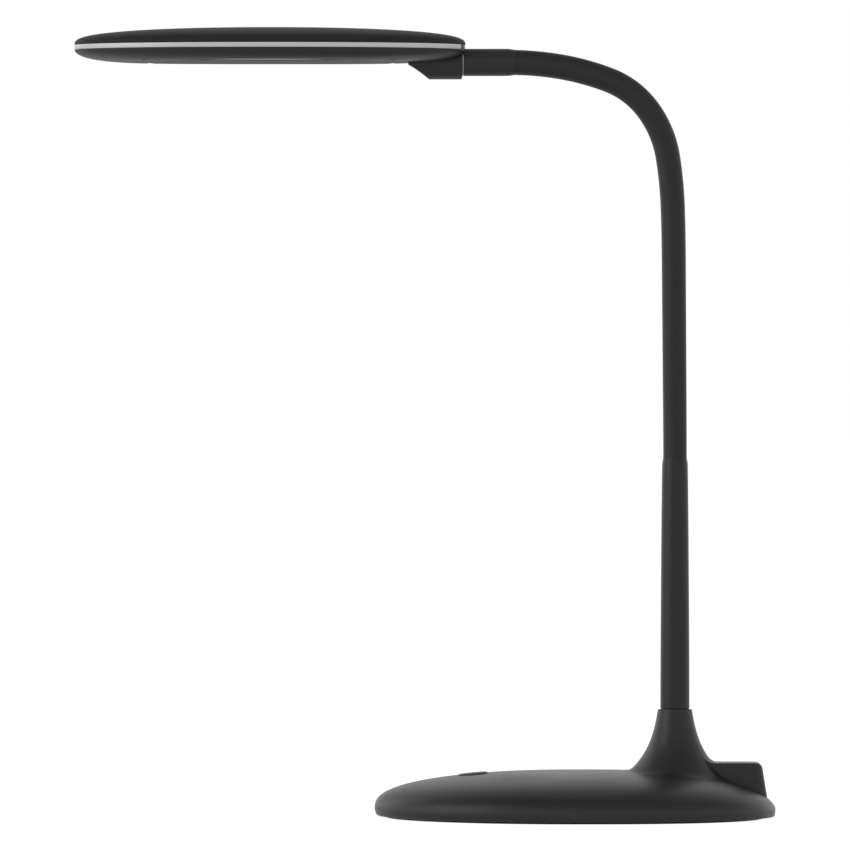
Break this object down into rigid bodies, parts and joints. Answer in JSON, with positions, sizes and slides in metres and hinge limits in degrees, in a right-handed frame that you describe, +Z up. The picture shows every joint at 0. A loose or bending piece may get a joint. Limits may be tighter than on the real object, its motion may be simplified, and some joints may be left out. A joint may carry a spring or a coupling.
{
  "type": "gooseneck desk lamp",
  "caption": "Desk lamp with a flat oval light head that rolls on a flexible gooseneck, on a pole in a weighted oval base with a push button.",
  "frame": {"origin": "on the desk, at the middle of the base's length and width, on the underside of the pad", "axes": "+Z up, +X towards the back of the base, where the pole and the power inlet are; the head reaches towards -X"},
  "size_m": [0.3501, 0.15, 0.3946],
  "materials": {
    "black_plastic": "fine matte, soft-touch",
    "button_plastic": "satin",
    "black_paint": "matte black powder coat",
    "silicone": "matte silicone",
    "spring_steel": "bright coil wire",
    "raw_steel": "rolled plate",
    "zinc_steel": "zinc plated",
    "pad_rubber": "foam rubber",
    "jack_plastic": "moulded",
    "circuit_board": "solder mask",
    "white_board": "white solder mask on aluminium",
    "led_resin": "phosphor resin",
    "wire_jacket": "thin jacket",
    "silver_trim": "satin silver paint",
    "washer_nylon": "natural nylon",
    "frosted_acrylic": "frosted white acrylic"
  },
  "bodies": {
    "base": {"base_shell": "black_plastic", "bottom_cover": "black_plastic", "anti_slip_pad": "pad_rubber", "weight_plate": "raw_steel", "bottom_screws": "zinc_steel", "pole": "black_paint", "pole_nipple": "zinc_steel", "pole_washer": "zinc_steel", "pole_nut": "zinc_steel", "tact_switch": "zinc_steel", "control_board": "circuit_board", "board_screws": "zinc_steel", "power_jack": "jack_plastic", "jack_pin": "zinc_steel", "power_lead": "wire_jacket", "base_cable": "wire_jacket", "neck_cable": "wire_jacket", "neck_link_01": "spring_steel", "neck_sleeve_01": "silicone"},
    "button": {"power_button": "button_plastic", "switch_plunger": "jack_plastic"},
    "neck_02": {"neck_link_02": "spring_steel", "neck_sleeve_02": "silicone"},
    "neck_03": {"neck_link_03": "spring_steel", "neck_sleeve_03": "silicone"},
    "neck_04": {"neck_link_04": "spring_steel", "neck_sleeve_04": "silicone"},
    "neck_05": {"neck_link_05": "spring_steel", "neck_sleeve_05": "silicone"},
    "neck_06": {"neck_link_06": "spring_steel", "neck_sleeve_06": "silicone"},
    "neck_07": {"neck_link_07": "spring_steel", "neck_sleeve_07": "silicone"},
    "neck_08": {"neck_link_08": "spring_steel", "neck_sleeve_08": "silicone"},
    "neck_09": {"neck_link_09": "spring_steel", "neck_sleeve_09": "silicone"},
    "neck_10": {"neck_link_10": "spring_steel", "neck_sleeve_10": "silicone", "arm_collar": "black_plastic", "swivel_stem": "spring_steel", "swivel_washer": "washer_nylon", "swivel_clip": "spring_steel"},
    "head": {"arm_housing": "black_plastic", "housing_screws": "zinc_steel", "head_lower_frame": "black_plastic", "trim_ring": "silver_trim", "head_top_cover": "black_plastic", "led_board": "white_board", "led_chips": "led_resin", "diffuser": "frosted_acrylic", "head_screws": "zinc_steel"}
  },
  "joints": [
    {"name": "neck_bend_01", "type": "hinge", "parent": "base", "child": "neck_02", "pos_m": [0.05, 0, 0.2033], "axis": [0, -1, 0], "range_deg": [-20, 20], "deforming": ["neck_sleeve_02", "neck_sleeve_01", "neck_cable"]},
    {"name": "neck_sway_02", "type": "hinge", "parent": "neck_02", "child": "neck_03", "pos_m": [0.05, 0, 0.2286], "axis": [1, 0, 0], "range_deg": [-20, 20], "deforming": ["neck_sleeve_03"]},
    {"name": "neck_bend_03", "type": "hinge", "parent": "neck_03", "child": "neck_04", "pos_m": [0.05, 0, 0.2539], "axis": [0, -1, 0], "range_deg": [-20, 20], "deforming": ["neck_sleeve_04"]},
    {"name": "neck_sway_04", "type": "hinge", "parent": "neck_04", "child": "neck_05", "pos_m": [0.05, 0, 0.2792], "axis": [1, 0, 0], "range_deg": [-20, 20], "deforming": ["neck_sleeve_05"]},
    {"name": "neck_bend_05", "type": "hinge", "parent": "neck_05", "child": "neck_06", "pos_m": [0.04934, 0, 0.30449], "axis": [0, -1, 0], "range_deg": [-20, 20], "deforming": ["neck_sleeve_06"]},
    {"name": "neck_sway_06", "type": "hinge", "parent": "neck_06", "child": "neck_07", "pos_m": [0.04626, 0, 0.32958], "axis": [0.9816, 0, 0.1908], "range_deg": [-20, 20], "deforming": ["neck_sleeve_07"]},
    {"name": "neck_bend_07", "type": "hinge", "parent": "neck_07", "child": "neck_08", "pos_m": [0.03605, 0, 0.35249], "axis": [0, -1, 0], "range_deg": [-20, 20], "deforming": ["neck_sleeve_08"]},
    {"name": "neck_sway_08", "type": "hinge", "parent": "neck_08", "child": "neck_09", "pos_m": [0.01647, 0, 0.36808], "axis": [0.4067, 0, 0.9135], "range_deg": [-20, 20], "deforming": ["neck_sleeve_09"]},
    {"name": "neck_bend_09", "type": "hinge", "parent": "neck_09", "child": "neck_10", "pos_m": [-0.00772, 0, 0.37524], "axis": [0, -1, 0], "range_deg": [-20, 20], "deforming": ["neck_sleeve_10"]},
    {"name": "head_swivel", "type": "hinge", "parent": "neck_10", "child": "head", "pos_m": [-0.03292, 0, 0.37722], "axis": [-1, 0, 0], "range_deg": [-90, 90]},
    {"name": "button_press", "type": "slide", "parent": "base", "child": "button", "axis": [0.0872, 0, -0.9962], "range_m": [0, 0.0005], "stiffness_N_per_m": 1200, "springref_m": -0.0004}
  ]
}
